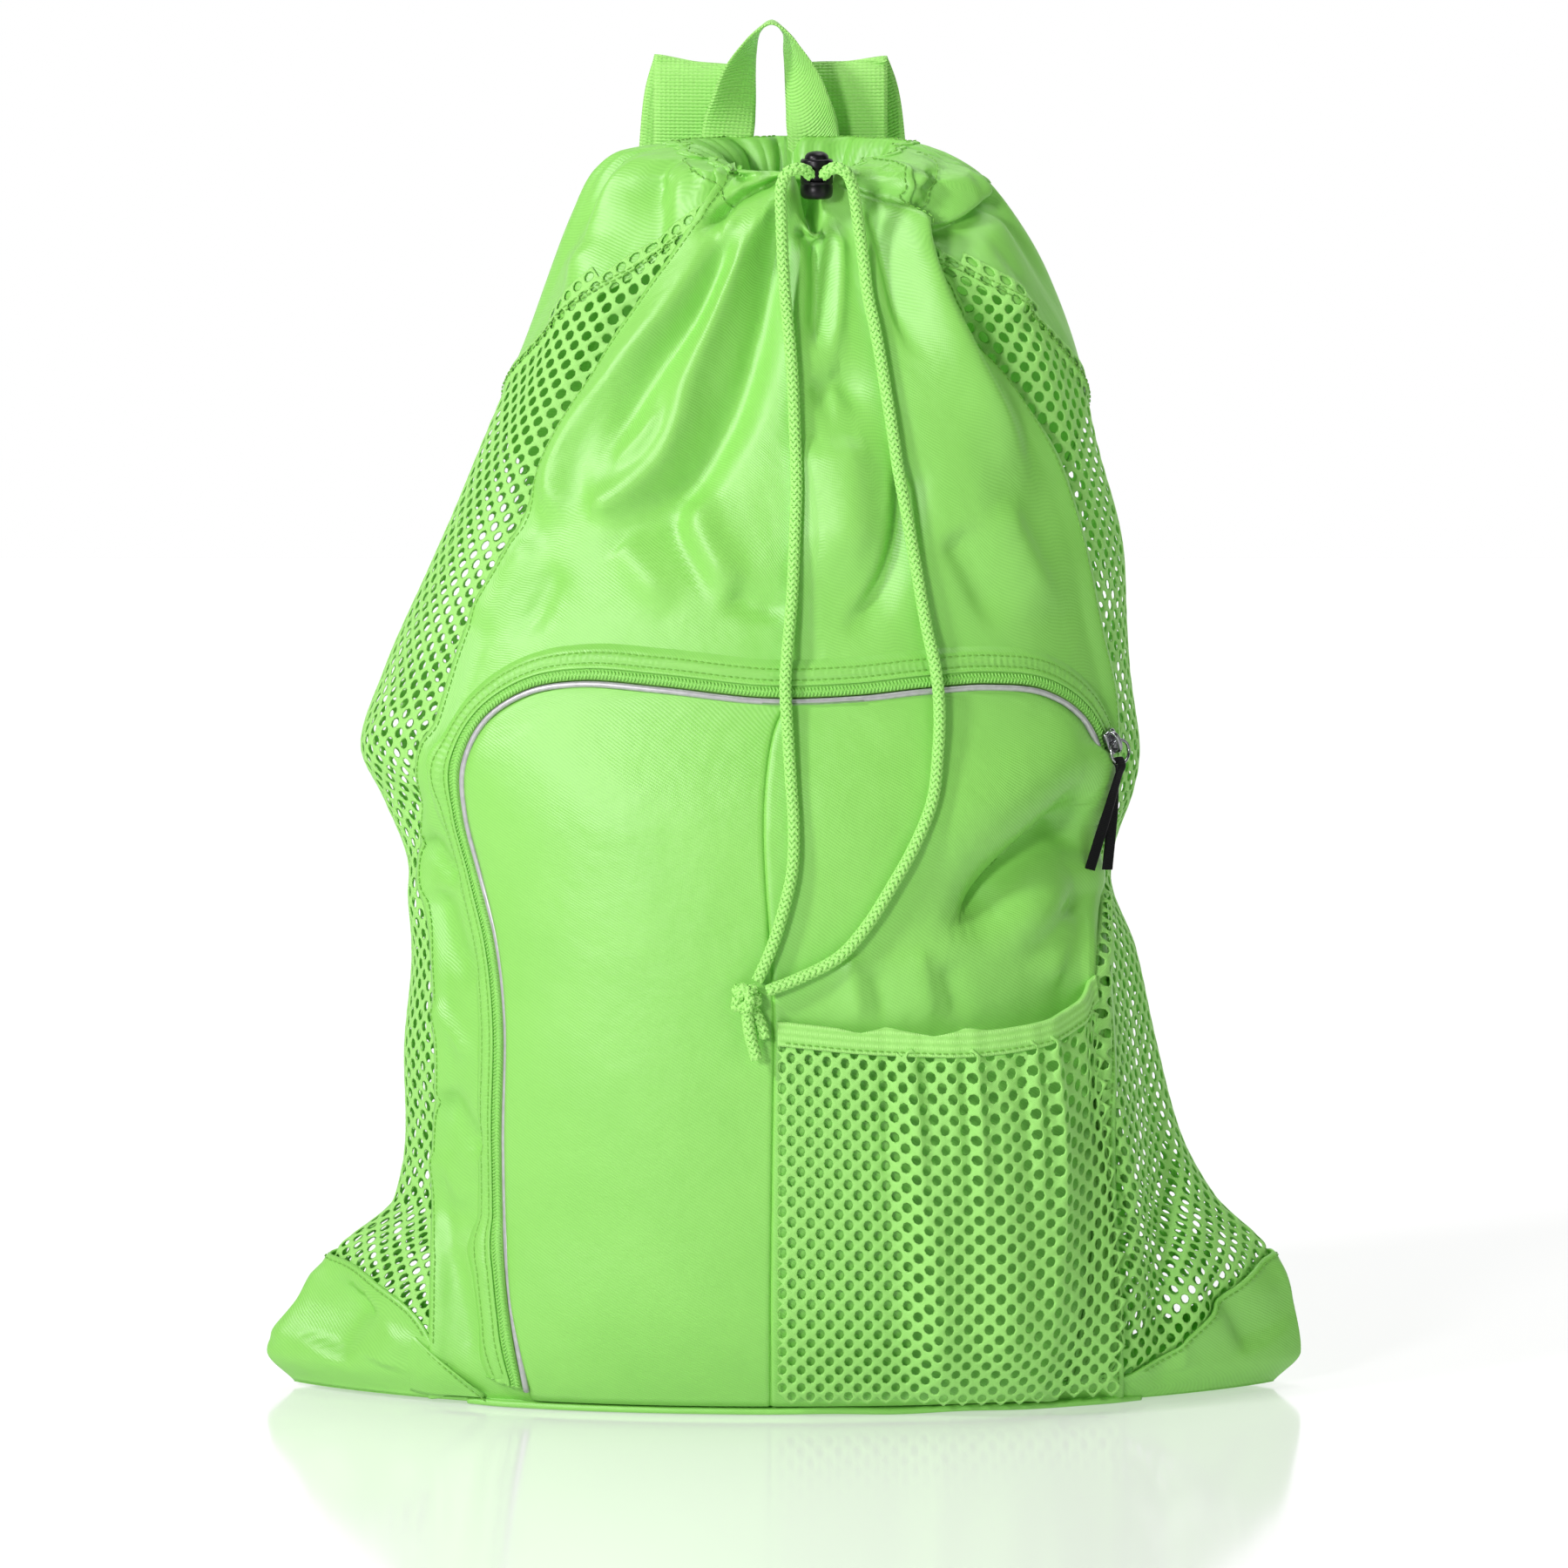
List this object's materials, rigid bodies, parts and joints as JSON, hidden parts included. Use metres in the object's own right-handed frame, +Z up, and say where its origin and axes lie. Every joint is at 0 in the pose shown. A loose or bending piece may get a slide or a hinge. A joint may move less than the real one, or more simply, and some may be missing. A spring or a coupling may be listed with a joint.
{
  "type": "mesh equipment bag",
  "caption": "Standing drawstring equipment bag with net sides, a front zip pocket, a net pocket, webbing straps and a cord lock at its gathered mouth.",
  "frame": {"origin": "middle of the bag's flat base, at floor level", "axes": "+Z up, -Y out of the front with the zip pocket, +X to the viewer's right"},
  "size_m": [0.5018, 0.2496, 0.6602],
  "materials": {
    "lime_twill": "satin twill, fine diagonal weave",
    "lime_net": "knitted net with oval holes",
    "lime_webbing": "ribbed webbing",
    "lime_zipper": "woven tape with a coil",
    "lime_elastic": "ribbed elastic band",
    "lime_cord": "plaited cord",
    "silver_piping": "smooth silver-grey trim",
    "black_plastic": "glossy black",
    "dark_metal": "dark polished metal",
    "black_ribbon": "smooth woven ribbon"
  },
  "bodies": {
    "bag": {"bottom_panel": "lime_twill", "front_panel": "lime_twill", "back_panel": "lime_twill", "corner_left": "lime_twill", "corner_right": "lime_twill", "yoke_left": "lime_twill", "yoke_right": "lime_twill", "hem_channel": "lime_twill", "pocket_panel_left": "lime_twill", "pocket_panel_right": "lime_twill", "side_mesh_left": "lime_net", "side_mesh_right": "lime_net", "mesh_pocket": "lime_net", "shoulder_strap_left": "lime_webbing", "shoulder_strap_right": "lime_webbing", "grab_loop": "lime_webbing", "zipper": "lime_zipper", "pocket_binding": "lime_elastic", "piping": "silver_piping", "drawcord_left": "lime_cord", "drawcord_right": "lime_cord", "cord_knot": "lime_cord", "lock_barrel": "black_plastic", "zipper_slider": "dark_metal", "slider_bail": "dark_metal", "pull_ribbon": "black_ribbon"},
    "button": {"lock_button": "black_plastic"}
  },
  "joints": [
    {"name": "lock_press", "type": "slide", "parent": "bag", "child": "button", "axis": [0, 0, -1], "range_m": [0, 0.0038], "stiffness_N_per_m": 400}
  ]
}
